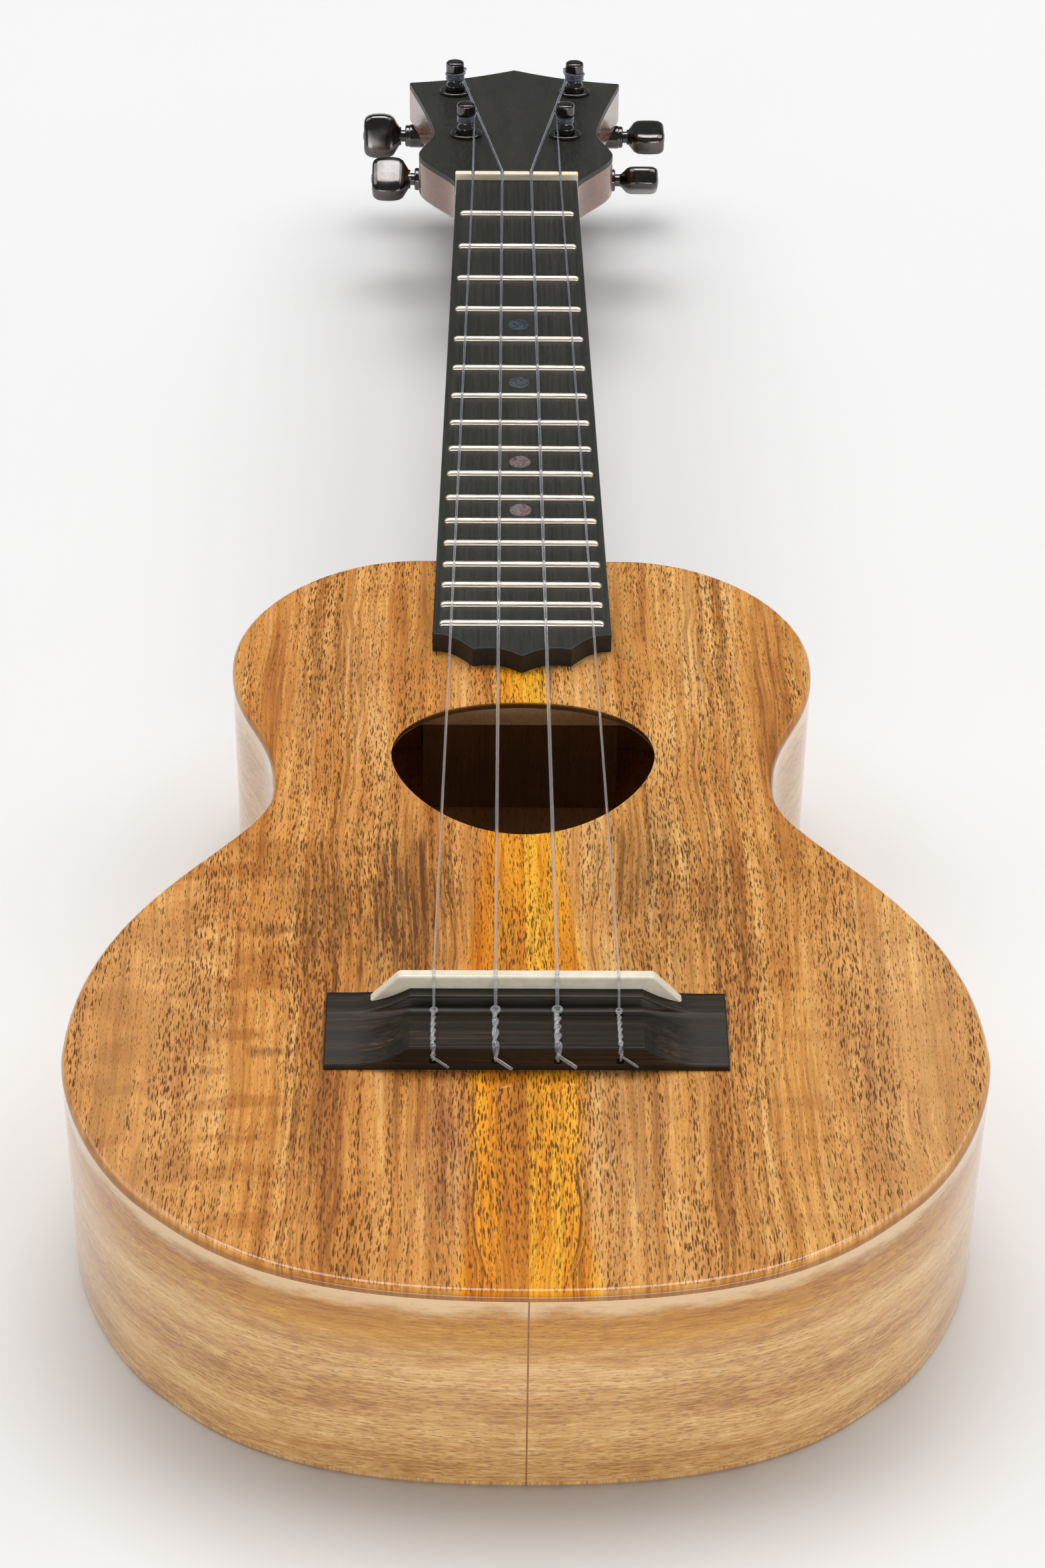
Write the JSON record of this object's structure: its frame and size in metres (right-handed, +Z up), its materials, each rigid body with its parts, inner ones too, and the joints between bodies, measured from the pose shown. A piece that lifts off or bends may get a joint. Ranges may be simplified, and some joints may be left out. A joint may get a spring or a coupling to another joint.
{
  "type": "ukulele",
  "caption": "Concert ukulele with hollow figured-wood body, rounded-triangle soundhole, fretted neck, tie bridge, tilted headstock and geared tuners that turn.",
  "frame": {"origin": "on the plane of the flat back, under the middle of the whole length, on the centre line", "axes": "+X to the treble side, +Y along the neck from the body to the headstock, +Z up out of the soundboard"},
  "size_m": [0.2128, 0.5916, 0.0731],
  "materials": {
    "figured_top": "figured golden-brown hardwood, gloss lacquer",
    "pale_side": "pale blond hardwood, gloss lacquer",
    "inner_wood": "bare sanded wood",
    "neck_wood": "reddish-brown hardwood, satin lacquer",
    "ebony": "black hardwood, satin",
    "bridge_wood": "dark brown-black hardwood, oiled",
    "fret_metal": "polished nickel silver",
    "bone": "ivory-coloured composite, satin",
    "dark_chrome": "smoked chrome plating",
    "clear_string": "clear fluorocarbon",
    "pearl": "shell inlay, polished"
  },
  "bodies": {
    "instrument": {"soundboard": "figured_top", "back": "pale_side", "side_left": "pale_side", "side_right": "pale_side", "neck_block": "inner_wood", "tail_block": "inner_wood", "top_lining_left": "inner_wood", "top_lining_right": "inner_wood", "back_lining_left": "inner_wood", "back_lining_right": "inner_wood", "upper_brace": "inner_wood", "lower_brace": "inner_wood", "fan_brace_left": "inner_wood", "fan_brace_right": "inner_wood", "bridge_patch": "inner_wood", "back_brace_upper": "inner_wood", "back_brace_lower": "inner_wood", "neck": "neck_wood", "headplate": "ebony", "fretboard": "ebony", "fret_01": "fret_metal", "fret_02": "fret_metal", "fret_03": "fret_metal", "fret_04": "fret_metal", "fret_05": "fret_metal", "fret_06": "fret_metal", "fret_07": "fret_metal", "fret_08": "fret_metal", "fret_09": "fret_metal", "fret_10": "fret_metal", "fret_11": "fret_metal", "fret_12": "fret_metal", "fret_13": "fret_metal", "fret_14": "fret_metal", "fret_15": "fret_metal", "fret_16": "fret_metal", "fret_17": "fret_metal", "nut": "bone", "saddle": "bone", "bridge": "bridge_wood", "string_g": "clear_string", "string_c": "clear_string", "string_e": "clear_string", "string_a": "clear_string", "housing_near_left": "dark_chrome", "housing_near_right": "dark_chrome", "housing_far_left": "dark_chrome", "housing_far_right": "dark_chrome", "bushing_near_left": "dark_chrome", "bushing_near_right": "dark_chrome", "bushing_far_left": "dark_chrome", "bushing_far_right": "dark_chrome"},
    "worm_near_left": {"worm_near_left": "dark_chrome"},
    "post_near_left": {"post_near_left": "dark_chrome"},
    "worm_near_right": {"worm_near_right": "dark_chrome"},
    "post_near_right": {"post_near_right": "dark_chrome"},
    "worm_far_left": {"worm_far_left": "dark_chrome"},
    "post_far_left": {"post_far_left": "dark_chrome"},
    "worm_far_right": {"worm_far_right": "dark_chrome"},
    "post_far_right": {"post_far_right": "dark_chrome"}
  },
  "joints": [
    {"name": "button_near_left_turn", "type": "hinge", "parent": "instrument", "child": "worm_near_left", "pos_m": [-0.0161, 0.23514, 0.03643], "axis": [-1, 0, 0], "continuous": true},
    {"name": "post_near_left_turn", "type": "hinge", "parent": "instrument", "child": "post_near_left", "pos_m": [-0.0161, 0.22912, 0.05591], "axis": [0, 0.1564, 0.9877], "continuous": true},
    {"name": "button_near_right_turn", "type": "hinge", "parent": "instrument", "child": "worm_near_right", "pos_m": [0.0161, 0.23514, 0.03643], "axis": [1, 0, 0], "continuous": true},
    {"name": "post_near_right_turn", "type": "hinge", "parent": "instrument", "child": "post_near_right", "pos_m": [0.0161, 0.22912, 0.05591], "axis": [0, 0.1564, 0.9877], "continuous": true},
    {"name": "button_far_left_turn", "type": "hinge", "parent": "instrument", "child": "worm_far_left", "pos_m": [-0.02, 0.27742, 0.02974], "axis": [-1, 0, 0], "continuous": true},
    {"name": "post_far_left_turn", "type": "hinge", "parent": "instrument", "child": "post_far_left", "pos_m": [-0.02, 0.27139, 0.04922], "axis": [0, 0.1564, 0.9877], "continuous": true},
    {"name": "button_far_right_turn", "type": "hinge", "parent": "instrument", "child": "worm_far_right", "pos_m": [0.02, 0.27742, 0.02974], "axis": [1, 0, 0], "continuous": true},
    {"name": "post_far_right_turn", "type": "hinge", "parent": "instrument", "child": "post_far_right", "pos_m": [0.02, 0.27139, 0.04922], "axis": [0, 0.1564, 0.9877], "continuous": true}
  ],
  "couplings": [
    {"joint": "post_near_left_turn", "follows": "button_near_left_turn", "ratio": 0.071429},
    {"joint": "post_near_right_turn", "follows": "button_near_right_turn", "ratio": 0.071429},
    {"joint": "post_far_left_turn", "follows": "button_far_left_turn", "ratio": 0.071429},
    {"joint": "post_far_right_turn", "follows": "button_far_right_turn", "ratio": 0.071429}
  ]
}
